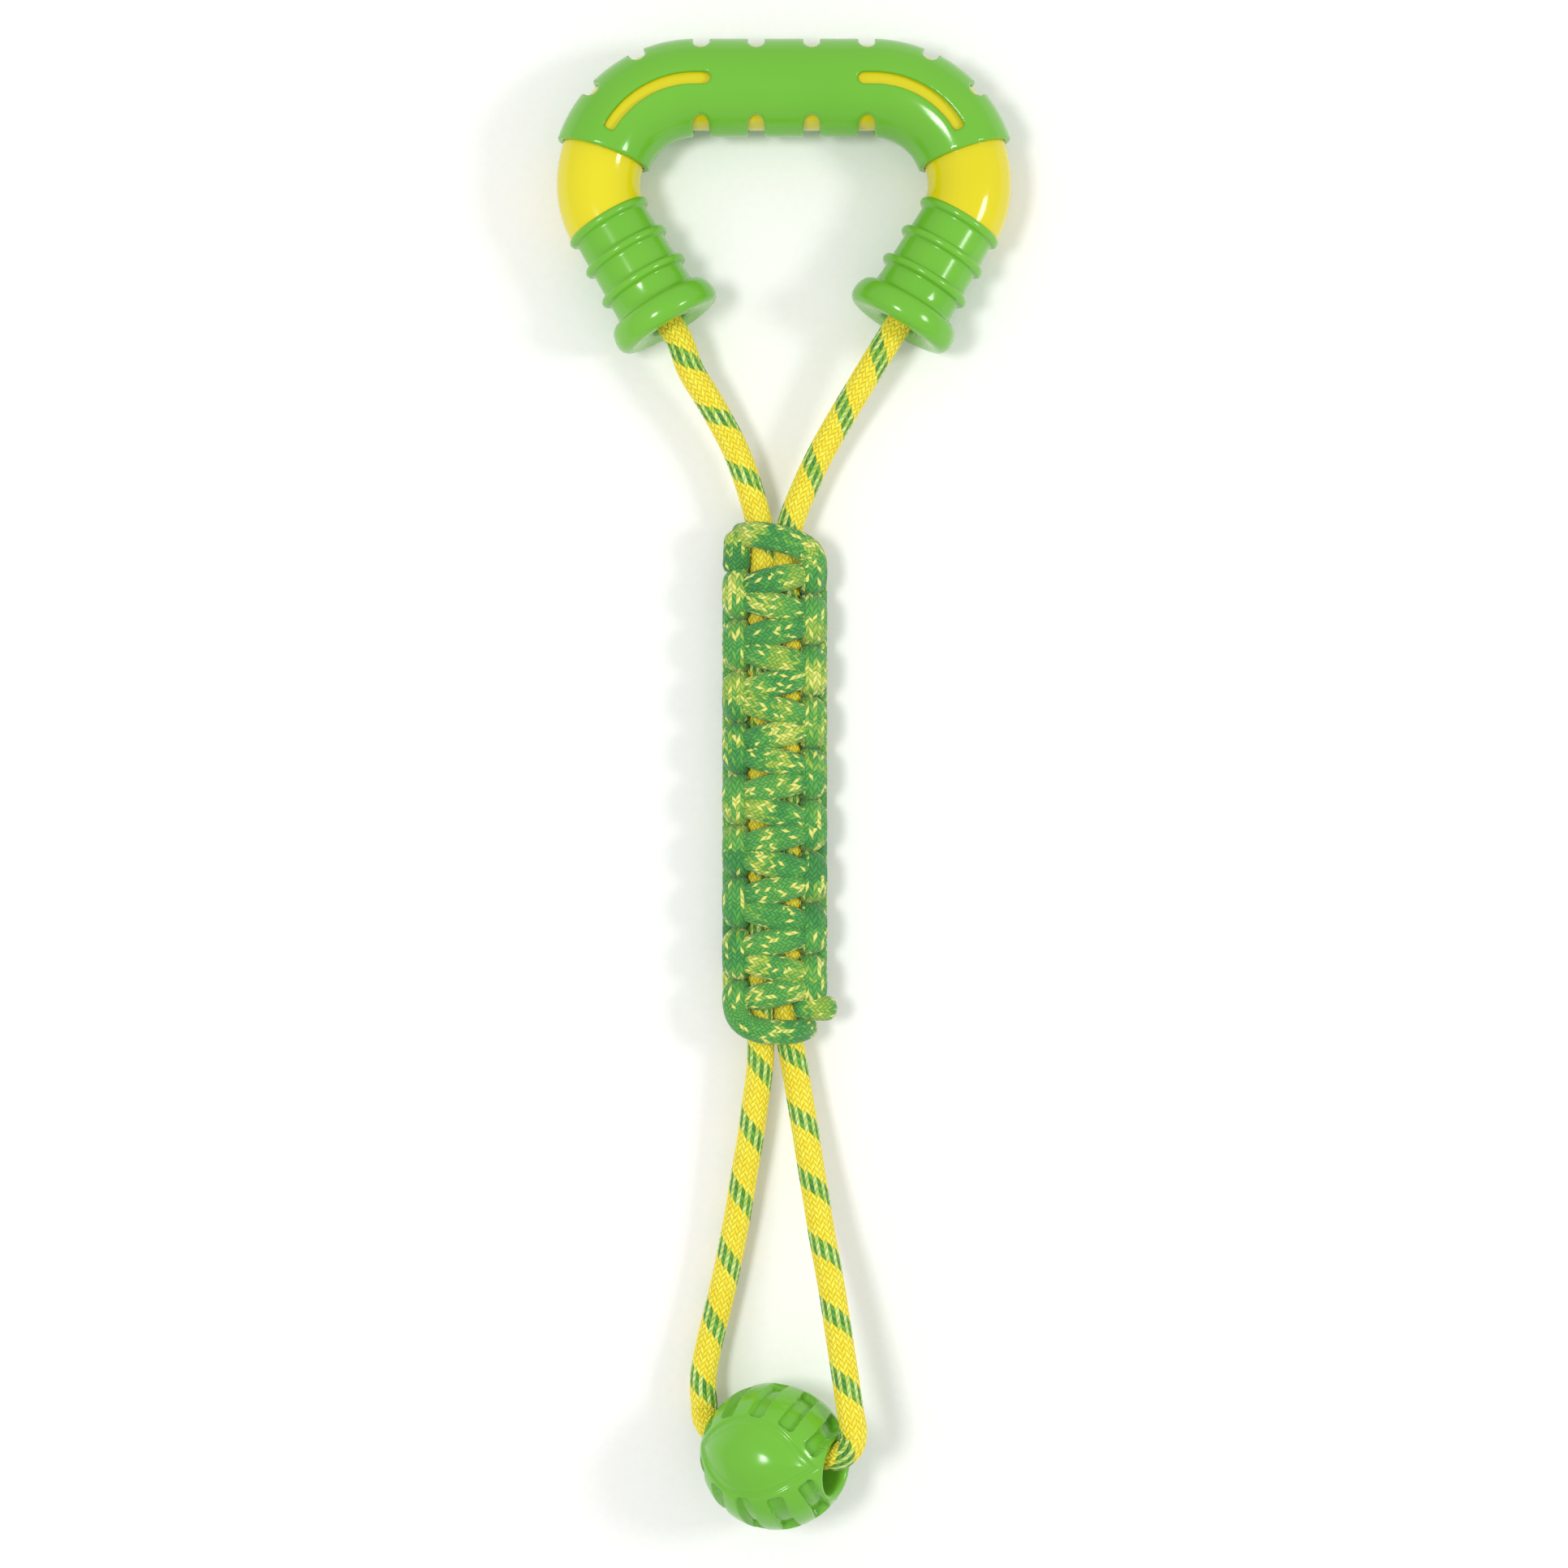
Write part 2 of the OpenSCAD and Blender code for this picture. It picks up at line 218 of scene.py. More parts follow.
def smoothRoute(points, gap, stops=()):
    # a natural cubic spline through the points in mm, stepped evenly, in metres; columns
    # past the first three are carried along, and stops are the points where it is split
    p = np.array(points, float)
    t = np.concatenate([[0], np.cumsum(np.linalg.norm(np.diff(p[:, :3], axis=0), axis=1))])
    h = np.diff(t)
    n = len(p)
    a = np.eye(n)
    b = np.zeros(p.shape)
    for i in range(1, n - 1):
        a[i, i - 1:i + 2] = h[i - 1], 2 * (h[i - 1] + h[i]), h[i]
        b[i] = 6 * ((p[i + 1] - p[i]) / h[i] - (p[i] - p[i - 1]) / h[i - 1])
    m = np.linalg.solve(a, b)
    ends = [0, *stops, n - 1]
    parts = []
    for first, last in zip(ends, ends[1:]):
        span = t[last] - t[first]
        s = np.linspace(t[first], t[last], max(3, round(span * mm / gap) + 1))
        i = np.clip(np.searchsorted(t, s, side="right") - 1, 0, n - 2)
        u, w = (s - t[i])[:, None], (t[i + 1] - s)[:, None]
        k = h[i][:, None]
        out = (m[i] * w ** 3 + m[i + 1] * u ** 3) / (6 * k) \
            + (p[i] / k - m[i] * k / 6) * w + (p[i + 1] / k - m[i + 1] * k / 6) * u
        parts.append(out * mm)
    return parts if stops else parts[0]


def routeLength(route):
    return float(np.linalg.norm(np.diff(route[:, :3], axis=0), axis=1).sum())


def pickHeight(along, around, lay):
    # 0 in the gaps to 1 on the crown of each pick; alternate columns slant the other way,
    # and each is half a pick further on, so that the picks nest in chevrons
    columns, pick = weave[lay]
    c = around * columns
    column = np.floor(c)
    slant = np.where(column % 2 < 0.5, weave["slope"], -weave["slope"])
    s = along / pick + 0.5 * column + slant * (c - column - 0.5)
    across = 2 * (c - column) - 1
    length = 2 * (s % 1) - 1
    return np.clip((1 - 0.45 * across ** 4) * (1 - np.abs(length) ** 3), 0, 1)


def wovenTube(name, route, up, wide, thin, lay, sides, relief, startAt, material, headings=None):
    # a grid is wrapped round the route; its UV map holds metres along and turns around
    rings = len(route)
    bm = bmesh.new()
    bmesh.ops.create_grid(bm, x_segments=rings - 1, y_segments=sides, size=1)
    mesh = bpy.data.meshes.new(name)
    bm.to_mesh(mesh)
    bm.free()
    count = len(mesh.vertices)
    flat = np.zeros(count * 3)
    mesh.vertices.foreach_get("co", flat)
    flat = flat.reshape(-1, 3)
    ring = np.rint((flat[:, 0] + 1) / 2 * (rings - 1)).astype(int)
    around = (flat[:, 1] + 1) / 2
    steps = np.linalg.norm(np.diff(route, axis=0), axis=1)
    along = startAt + np.concatenate([[0], np.cumsum(steps)])
    way = np.gradient(route, axis=0) if headings is None else headings
    way = way / np.linalg.norm(way, axis=1)[:, None]
    side = np.cross(up, way)
    side /= np.linalg.norm(side, axis=1)[:, None]
    out = np.cross(way, side)
    angle = 2 * math.pi * around
    bump = relief * (pickHeight(along[ring], around, lay) - 1)
    reach = np.cos(angle)[:, None] * side[ring] * (wide[ring] + bump)[:, None] \
        + np.sin(angle)[:, None] * out[ring] * (thin[ring] + bump)[:, None]
    mesh.vertices.foreach_set("co", (route[ring] + reach).astype(np.float32).ravel())
    corner = np.zeros(len(mesh.loops), int)
    mesh.loops.foreach_get("vertex_index", corner)
    uv = np.stack([along[ring][corner], around[corner]], axis=1)
    mesh.uv_layers.new(name="lay").data.foreach_set("uv", uv.astype(np.float32).ravel())
    bm = bmesh.new()
    bm.from_mesh(mesh)
    bmesh.ops.remove_doubles(bm, verts=bm.verts, dist=1e-6)
    bmesh.ops.holes_fill(bm, edges=[e for e in bm.edges if e.is_boundary], sides=0)
    bmesh.ops.recalc_face_normals(bm, faces=bm.faces)
    bm.to_mesh(mesh)
    bm.free()
    return placeMesh(name, mesh, material)


def ropeTube(name, route, startAt, headings):
    radius = np.ones(len(route)) * rope["radius"]
    up = np.tile((0.0, 0.0, 1.0), (len(route), 1))
    return wovenTube(name, route, up, radius, radius, "rope", rope["sides"], rope["relief"], startAt,
                     ropeYarn, headings)


def weaveNodes(tree, lay):
    # the picks' pattern from the piece's own UV map: metres along, which pick and which kind
    # of column, its height, its strands and its own random number
    columns, pickLength = weave[lay]
    uv = addNode(tree, "ShaderNodeUVMap", {"uv_map": "lay"})
    split = addNode(tree, "ShaderNodeSeparateXYZ", None, {0: uv.outputs[0]})
    along = addNode(tree, "ShaderNodeMath", {"operation": "DIVIDE", 1: pickLength},
                    {0: split.outputs[0]}).outputs[0]
    column = addNode(tree, "ShaderNodeMath", {"operation": "MULTIPLY", 1: columns},
                     {0: split.outputs[1]}).outputs[0]
    columnAt = addNode(tree, "ShaderNodeMath", {"operation": "FLOOR"}, {0: column}).outputs[0]
    odd = addNode(tree, "ShaderNodeMath", {"operation": "FLOORED_MODULO", 1: 2.0}, {0: columnAt}).outputs[0]
    inColumn = addNode(tree, "ShaderNodeMath", {"operation": "FRACT"}, {0: column}).outputs[0]
    fromMiddle = addNode(tree, "ShaderNodeMath", {"operation": "SUBTRACT", 1: 0.5}, {0: inColumn}).outputs[0]
    slant = addNode(tree, "ShaderNodeMath",
                    {"operation": "MULTIPLY_ADD", 1: -2 * weave["slope"], 2: weave["slope"]},
                    {0: odd}).outputs[0]
    slanted = addNode(tree, "ShaderNodeMath", {"operation": "MULTIPLY_ADD"},
                      {0: slant, 1: fromMiddle, 2: along}).outputs[0]
    place = addNode(tree, "ShaderNodeMath", {"operation": "MULTIPLY_ADD", 1: 0.5},
                    {0: columnAt, 2: slanted}).outputs[0]
    pick = addNode(tree, "ShaderNodeMath", {"operation": "FLOOR"}, {0: place}).outputs[0]
    inPick = addNode(tree, "ShaderNodeMath", {"operation": "FRACT"}, {0: place}).outputs[0]
    # both run from 0 to a half and back over a pick
    length = addNode(tree, "ShaderNodeMath", {"operation": "PINGPONG", 1: 0.5}, {0: inPick}).outputs[0]
    width = addNode(tree, "ShaderNodeMath", {"operation": "PINGPONG", 1: 0.5}, {0: inColumn}).outputs[0]
    lengthRise = addNode(tree, "ShaderNodeMapRange", {"interpolation_type": "SMOOTHSTEP", 2: 0.26},
                         {0: length}).outputs[0]
    widthRise = addNode(tree, "ShaderNodeMapRange", {"interpolation_type": "SMOOTHSTEP", 2: 0.30, 3: 0.55},
                        {0: width}).outputs[0]
    height = addNode(tree, "ShaderNodeMath", {"operation": "MULTIPLY"},
                     {0: lengthRise, 1: widthRise}).outputs[0]
    # five fine yarn strands side by side inside each pick
    strand = addNode(tree, "ShaderNodeMath", {"operation": "MULTIPLY", 1: 5.0}, {0: inColumn}).outputs[0]
    strandWave = addNode(tree, "ShaderNodeMath", {"operation": "PINGPONG", 1: 0.5}, {0: strand}).outputs[0]
    key = addNode(tree, "ShaderNodeCombineXYZ", None, {0: pick, 1: columnAt}).outputs[0]
    chance = addNode(tree, "ShaderNodeTexWhiteNoise", {"noise_dimensions": "2D"}, {0: key}).outputs[0]
    return {"along": split.outputs[0], "odd": odd, "pick": pick, "height": height, "strand": strandWave,
            "chance": chance}


def shadeGapsAndFinishYarn(tree, shader, lay, colour, gapShadeLevel, roughness):
    # painted shade: the yarn's colour is darkened in the gaps between picks, and each pick stands up with
    # its yarn strands on it
    shade = addNode(tree, "ShaderNodeMapRange", {3: gapShadeLevel, 4: 1.0}, {0: lay["height"]}).outputs[0]
    shaded = addNode(tree, "ShaderNodeMix", {"data_type": "RGBA", "blend_type": "MULTIPLY", 0: 1.0},
                     {6: colour, 7: shade}).outputs[2]
    tree.links.new(shaded, shader.inputs["Base Color"])
    shader.inputs["Roughness"].default_value = roughness
    shader.inputs["Sheen Weight"].default_value = 0.25
    fine = addNode(tree, "ShaderNodeMath", {"operation": "MULTIPLY_ADD", 1: 0.25},
                   {0: lay["strand"], 2: lay["height"]}).outputs[0]
    bump = addNode(tree, "ShaderNodeBump", {"Strength": 0.6, "Distance": 0.35 * mm}, {"Height": fine})
    tree.links.new(bump.outputs[0], shader.inputs["Normal"])


# braided polypropylene rope: soft satin yarn, yellow with a green tracer
ropeYarn, tree, shader = newMaterial("braidedYellowRope")
lay = weaveNodes(tree, "rope")
tenth = addNode(tree, "ShaderNodeMath", {"operation": "MULTIPLY", 1: 0.1}, {0: lay["pick"]}).outputs[0]
inTen = addNode(tree, "ShaderNodeMath", {"operation": "FRACT"}, {0: tenth}).outputs[0]
# three picks in every ten along a column are the tracer's: green in even columns, lime in odd
inTracer = addNode(tree, "ShaderNodeMath", {"operation": "LESS_THAN", 1: 0.25}, {0: inTen}).outputs[0]
yellow = addNode(tree, "ShaderNodeMix", {"data_type": "RGBA", 6: srgb("#F8E010"), 7: srgb("#FFF03C")},
                 {0: lay["chance"]}).outputs[2]
green = addNode(tree, "ShaderNodeMix", {"data_type": "RGBA", 6: srgb("#3F8A24"), 7: srgb("#64AE30")},
                {0: lay["chance"]}).outputs[2]
lime = addNode(tree, "ShaderNodeMix", {"data_type": "RGBA", 6: srgb("#A9CF3C"), 7: srgb("#D8EE8A")},
               {0: lay["chance"]}).outputs[2]
tracer = addNode(tree, "ShaderNodeMix", {"data_type": "RGBA"}, {0: lay["odd"], 6: green, 7: lime}).outputs[2]
yarn = addNode(tree, "ShaderNodeMix", {"data_type": "RGBA"}, {0: inTracer, 6: yellow, 7: tracer}).outputs[2]
# painted shade darkens the rope's colour to 0.66 in the gaps between picks
shadeGapsAndFinishYarn(tree, shader, lay, yarn, 0.66, 0.55)

# the same braid in a space-dyed cord: patches of green and lime with pale flecks
cordYarn, tree, shader = newMaterial("spaceDyedCord")
lay = weaveNodes(tree, "cord")
# each pick's dye is shifted along a little, which breaks the patches' ends into flecks
shift = addNode(tree, "ShaderNodeMath", {"operation": "MULTIPLY_ADD", 1: 7 * mm},
                {0: lay["chance"], 2: lay["along"]}).outputs[0]
dyeAt = addNode(tree, "ShaderNodeCombineXYZ", None, {0: shift}).outputs[0]
# patches of dye about 11 mm long
dye = addNode(tree, "ShaderNodeTexNoise", {"noise_dimensions": "3D", "Scale": 90, "Detail": 1.0},
              {0: dyeAt}).outputs[0]
ramp = addNode(tree, "ShaderNodeValToRGB", None, {0: dye})
dyes = [(0.30, "#2C8436"), (0.44, "#3B9A3E"), (0.52, "#5AAE42"), (0.58, "#93BE3C"), (0.66, "#B5D04A"),
        (0.72, "#E4EC7A")]
for end in (0, -1):
    ramp.color_ramp.elements[end].position = dyes[end][0]
    ramp.color_ramp.elements[end].color = srgb(dyes[end][1])
for place, colour in dyes[1:-1]:
    ramp.color_ramp.elements.new(place).color = srgb(colour)
# single pale picks, most where one patch of dye turns into the next
paleChance = addNode(tree, "ShaderNodeMapRange", {1: 0.42, 2: 0.64, 3: 0.03, 4: 0.34}, {0: dye}).outputs[0]
paleKey = addNode(tree, "ShaderNodeMath", {"operation": "MULTIPLY", 1: 17.0}, {0: lay["chance"]}).outputs[0]
paleDraw = addNode(tree, "ShaderNodeMath", {"operation": "FRACT"}, {0: paleKey}).outputs[0]
isPale = addNode(tree, "ShaderNodeMath", {"operation": "LESS_THAN"}, {0: paleDraw, 1: paleChance}).outputs[0]
flecked = addNode(tree, "ShaderNodeMix", {"data_type": "RGBA", 7: srgb("#DDE46E")},
                  {0: isPale, 6: ramp.outputs[0]}).outputs[2]
# painted shade darkens the cord's colour to 0.55 in the gaps between picks
shadeGapsAndFinishYarn(tree, shader, lay, flecked, 0.55, 0.6)


def onCuff(side, at):
    # a point on a cuff's axis, in mm from its first rib
    a = math.radians(cuff["lean"])
    x, y, z = cuff["start"]
    return (side * (x - math.sin(a) * at), y - math.cos(a) * at, z)


def knotPoints(side):
    # an overhand knot drawn tight in the hollow of the bend, its tail first
    turned = math.radians(rope["knotTurn"])
    middle = np.array(rope["knotAt"])
    along = np.array((-math.sin(turned), math.cos(turned), 0))
    across = np.array((math.cos(turned), math.sin(turned), 0))
    up = np.array((0, 0, 1))
    points = [middle + along * at for at in rope["tailAt"]]
    for k in range(1, rope["knotSteps"]):
        t = 2 * math.pi * k / rope["knotSteps"]
        trefoil = (math.sin(t) + 2 * math.sin(2 * t)) * across + (math.cos(t) - 2 * math.cos(2 * t)) * up \
            - rope["knotRise"] * math.sin(3 * t) * along
        spread = rope["knotSpread"] * (0.5 - k / rope["knotSteps"])
        points.append(middle + rope["knotSize"] * trefoil + along * spread)
    return [(side * x, y, z) for x, y, z in points]


def handleToBall(side, upper, run, lower):
    # one side of the rope, from the knot's end of the cuff to where it turns into the ball
    return [onCuff(side, at) for at in rope["shankAt"]] + rope[upper] \
        + [(run, y, rope["runHeight"]) for y in rope["runAlong"]] + rope[lower]


left = handleToBall(-1, "upperLeft", rope["runs"][0], "lowerLeft")
right = handleToBall(1, "upperRight", rope["runs"][1], "lowerRight")
bend = [turnPoint(-1, a) for a in rope["turnAngles"]] + [turnPoint(1, a) for a in rope["turnAngles"][::-1]]
leftKnot, rightKnot = knotPoints(-1), knotPoints(1)
# the whole rope is one curve, from one knot round the ball to the other, so that its lay
# carries on from piece to piece
wholeRope = leftKnot + left + bend + right[::-1] + rightKnot[::-1]
# it is split at the cuffs' mouths, at both ends of the braid and where it turns out of the ball
mouth = len(leftKnot) + len(rope["shankAt"])
braidTop = mouth + len(rope["upperLeft"]) - 1
braidFoot = braidTop + len(rope["runAlong"]) + 1
bendStart = len(leftKnot) + len(left)
lastPoint = len(wholeRope) - 1
stops = [mouth, braidTop, braidFoot, bendStart, bendStart + len(bend) - 1,
         lastPoint - braidFoot, lastPoint - braidTop, lastPoint - mouth]
routes = smoothRoute(wholeRope, rope["ringGap"], stops)
joined = np.concatenate([routes[0]] + [route[1:] for route in routes[1:]])
headings = np.gradient(joined, axis=0)

travelled, ringAt = 0.0, 0
ropePieces, ropeRoutes = {}, {}
for name, route in zip(("ropeKnotLeft", "ropeUpperLeft", "ropeRunLeft", "ropeLowerLeft", "ropeBight",
                        "ropeLowerRight", "ropeRunRight", "ropeUpperRight", "ropeKnotRight"), routes):
    ropePieces[name] = ropeTube(name, route, travelled, headings[ringAt:ringAt + len(route)])
    ropeRoutes[name] = route
    travelled += routeLength(route)
    ringAt += len(route) - 1


def freeLeg(piece, node):
    # the left side is travelled away from the handle and the right side back towards it
    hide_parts(node)
    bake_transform(piece)


for name, node, bodies, startsNear in (
        ("ropeUpperLeft", "rope_upper_left", ("handle", "braid"), True),
        ("ropeUpperRight", "rope_upper_right", ("handle", "braid"), False),
        ("ropeLowerLeft", "rope_lower_left", ("braid", "loop"), True),
        ("ropeLowerRight", "rope_lower_right", ("braid", "loop"), False)):
    freeLeg(ropePieces[name], node)
for name, node, body in (
        ("ropeRunLeft", "rope_braid_left", "braid"), ("ropeRunRight", "rope_braid_right", "braid"),
        ("ropeBight", "rope_ball", "loop"), ("ropeKnotLeft", "rope_knot_left", "handle"),
        ("ropeKnotRight", "rope_knot_right", "handle")):
    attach(ropePieces[name], body)
    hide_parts(node)
print("rope ready")


braid = {
    "x": -3.1,
    "z": 12.0,
    "pitch": 8.59,
    "firstRight": 71.4,
    "halfKnots": 17,
    "ringGap": 0.55 * mm,
    "sides": 54,
    "relief": 0.40 * mm,
    # half a period of the strand that knots behind: across, down, up, the way its flat
    # faces (degrees from up, turning left), its lean down the braid, half width, half
    # thickness
    "halfPeriod": [
        (-12.9, 0.0, 4.9, 22, 0.0, 4.9, 3.5), (-12.9, 3.2, 4.7, 24, 0.15, 4.9, 3.5),
        (-12.8, 5.2, 2.9, 32, 0.8, 4.8, 3.3), (-12.1, 6.0, -0.4, 60, 1.6, 4.2, 3.0),
        (-9.6, 6.2, -4.8, 125, 0.6, 3.7, 3.1), (-6.0, 5.6, -7.4, 165, 0.0, 4.3, 3.1),
        (0.0, 4.3, -7.9, 180, 0.0, 4.6, 3.1), (6.0, 3.0, -7.4, 195, 0.0, 4.3, 3.1),
        (9.6, 2.4, -4.8, 235, -0.6, 3.7, 3.1), (12.1, 2.6, -0.4, 300, -1.6, 4.2, 3.0),
        (12.8, 3.4, 2.9, 328, -0.8, 4.8, 3.3), (12.9, 5.4, 4.7, 336, -0.15, 4.9, 3.5)],
    # the same strand over the top of the braid and across its foot, as keys: across, along,
    # up, the way its flat faces (3), half width, half thickness
    "overTop": [
        (-8.0, 83.5, -6.5, -0.3, 0, -0.9, 3.8, 3.2), (-11.2, 83.3, -2.0, -1.0, 0, -0.2, 3.6, 3.3),
        (-10.8, 82.9, 2.4, -0.9, 0, 0.5, 3.8, 3.2), (-7.2, 82.3, 6.9, -0.35, 0, 0.95, 4.4, 3.1),
        (0.0, 81.2, 7.9, 0.0, 0, 1.0, 4.6, 3.1), (7.0, 79.2, 6.9, 0.3, 0, 0.95, 4.6, 3.2),
        (11.9, 75.8, 5.2, 0.4, 0, 0.9, 4.8, 3.4)],
    # along is from where the last half knot ends
    "acrossFoot": [
        (-12.9, 0, 4.8, -0.42, 0, 0.9, 4.7, 3.5), (-12.0, -3.6, 5.2, -0.42, 0, 0.9, 4.4, 3.4),
        (-8.4, -6.9, 6.4, -0.3, 0, 0.95, 4.2, 3.2), (-3.0, -8.3, 7.8, -0.1, 0, 1.0, 4.2, 3.1),
        (4.0, -8.6, 7.6, 0.1, 0, 1.0, 4.1, 3.1), (9.0, -8.2, 5.0, 0.6, 0, 0.8, 3.8, 3.2),
        (11.0, -7.6, 0.5, 1.0, 0, 0.1, 3.6, 3.3), (8.5, -7.0, -5.5, 0.5, 0, -0.8, 3.6, 3.2)],
    # metres along the cord at which each piece's pattern begins
    "patternAt": {"behind": 0.0, "front": 0.313, "top": 0.11, "foot": 0.47},
    # a cut end: its keys and the shares of its length over which it narrows, and to what
    "stubKeys": (0, 0.04, 0.1, 0.18, 0.3, 0.5, 0.66, 0.76, 0.84, 0.91, 0.96, 0.99, 1),
    "stubNarrows": (0.2, 0.3),
    "stubRoundness": 2.4,
    "stubTip": 0.04,
}


def knotKeys(first, last):
    # keys in mm for half periods first to last; odd ones are mirrored
    keys = []
    for i in range(first, last):
        for x, down, up, facing, lean, wide, thin in braid["halfPeriod"]:
            flip = -1 if i % 2 else 1
            a = math.radians(facing)
            keys.append((flip * x, braid["firstRight"] + braid["pitch"] - i * braid["pitch"] - down, up,
                         -flip * math.sin(a), -lean, math.cos(a), wide, thin))
    return keys


def strandPiece(name, keys, startAt):
    made = smoothRoute(np.array(keys) + (braid["x"], 0, braid["z"], 0, 0, 0, 0, 0), braid["ringGap"])
    return wovenTube(name, made[:, :3], made[:, 3:6] / mm, made[:, 6], made[:, 7], "cord", braid["sides"],
                     braid["relief"], startAt, cordYarn)


def stubPiece(name, start, end, radius, startAt):
    # a cut end of the cord, melted round; its other end is tucked in
    first, last = braid["stubNarrows"]
    keys = []
    for k in braid["stubKeys"]:
        x, y, z = (start[i] + (end[i] - start[i]) * k for i in range(3))
        off = max(0, (first - k) / first, (k - (1 - last)) / last)
        shrink = math.sqrt(max(0.0, 1 - off ** braid["stubRoundness"])) * (1 - braid["stubTip"]) \
            + braid["stubTip"]
        keys.append((x, y, z, 0.0, 0.0, 1.0, radius[0] * shrink, radius[1] * shrink))
    return strandPiece(name, keys, startAt)


middleKeys = knotKeys(1, 1 + braid["halfKnots"])
footTop = braid["firstRight"] - braid["halfKnots"] * braid["pitch"]
behindKeys = braid["overTop"] + middleKeys + [(x, footTop + y, *rest) for x, y, *rest in braid["acrossFoot"]]
# the strand that knots in front is the same turned half round; the cut ends carry it on
# from its fourth key and its last but two
frontKeys = [(-x, y, -z, -fx, fy, -fz, w, t) for x, y, z, fx, fy, fz, w, t in middleKeys][3:-2]

patternAt = braid["patternAt"]
strandBehind = strandPiece("braidCordBehind", behindKeys, patternAt["behind"])
strandFront = strandPiece("braidCordFront", frontKeys, patternAt["front"])
stubTop = stubPiece("braidEndTop", (-12.9, 69.5, 1.0), (-12.2, 84.0, 3.9), (4.7, 3.9), patternAt["top"])
stubFoot = stubPiece("braidEndFoot", (6.0, -75.2, 3.6), (20.9, -75.6, 3.4), (4.3, 4.1), patternAt["foot"])
for piece, node in ((strandFront, "braid_cord_front"), (strandBehind, "braid_cord_back"),
                    (stubTop, "braid_tail_top"), (stubFoot, "braid_tail_bottom")):
    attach(piece, "braid")
    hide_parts(node)
print("braid ready")


# glossy thermoplastic rubber, injection moulded: bright green, tight highlights
greenRubber, tree, shader = newMaterial("glossyGreenRubber")
where = addNode(tree, "ShaderNodeTexCoord").outputs["Object"]
flow = addNode(tree, "ShaderNodeTexNoise", {"Scale": 18, "Detail": 2}, {0: where}).outputs[0]
tone = addNode(tree, "ShaderNodeMix", {"data_type": "RGBA", 6: srgb("#64B02A"), 7: srgb("#74BC36")},
               {0: flow}).outputs[2]
tree.links.new(tone, shader.inputs["Base Color"])
smear = addNode(tree, "ShaderNodeTexNoise", {"Scale": 60, "Detail": 3}, {0: where}).outputs[0]
rough = addNode(tree, "ShaderNodeMapRange", {1: 0.3, 2: 0.7, 3: 0.11, 4: 0.20}, {0: smear}).outputs[0]
tree.links.new(rough, shader.inputs["Roughness"])
shader.inputs["IOR"].default_value = 1.49
# the mould's own faint unevenness, 3 mm across
uneven = addNode(tree, "ShaderNodeTexNoise", {"Scale": 320, "Detail": 2}, {0: where}).outputs[0]
bump = addNode(tree, "ShaderNodeBump", {"Strength": 0.05, "Distance": 0.2 * mm}, {"Height": uneven})
tree.links.new(bump.outputs[0], shader.inputs["Normal"])

# polished polypropylene: a hard bright yellow with sharp highlights
yellowPlastic, tree, shader = newMaterial("polishedYellowPlastic")
where = addNode(tree, "ShaderNodeTexCoord").outputs["Object"]
flow = addNode(tree, "ShaderNodeTexNoise", {"Scale": 14, "Detail": 2}, {0: where}).outputs[0]
tone = addNode(tree, "ShaderNodeMix", {"data_type": "RGBA", 6: srgb("#D6C80C"), 7: srgb("#E2D618")},
               {0: flow}).outputs[2]
tree.links.new(tone, shader.inputs["Base Color"])
smear = addNode(tree, "ShaderNodeTexNoise", {"Scale": 90, "Detail": 3}, {0: where}).outputs[0]
rough = addNode(tree, "ShaderNodeMapRange", {1: 0.3, 2: 0.7, 3: 0.08, 4: 0.15}, {0: smear}).outputs[0]
tree.links.new(rough, shader.inputs["Roughness"])
shader.inputs["IOR"].default_value = 1.49

for node in ("core_front", "core_rear"):
    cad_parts[node].data.materials.clear()
    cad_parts[node].data.materials.append(yellowPlastic)

# the sleeve: the moulded shape with its edges rounded off
sleeve = {"voxel": 0.58 * mm, "softening": 3}
bm = bmesh.new()
bm.from_mesh(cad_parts["grip_sleeve"].data)
bmesh.ops.remove_doubles(bm, verts=bm.verts, dist=1e-6)
sleeveMesh = bpy.data.meshes.new("gripSleeve")
bm.to_mesh(sleeveMesh)
bm.free()
sleevePiece = placeMesh("gripSleeve", sleeveMesh, greenRubber)
remesh = sleevePiece.modifiers.new("even", "REMESH")
remesh.mode = "VOXEL"
remesh.voxel_size = sleeve["voxel"]
soften = sleevePiece.modifiers.new("soften", "SMOOTH")
soften.iterations = sleeve["softening"]
evaluated = sleevePiece.evaluated_get(bpy.context.evaluated_depsgraph_get())
finished = bpy.data.meshes.new_from_object(evaluated)
sleevePiece.modifiers.clear()
sleevePiece.data = finished
finished.polygons.foreach_set("use_smooth", [True] * len(finished.polygons))
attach(sleevePiece, "handle")
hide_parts("grip_sleeve")

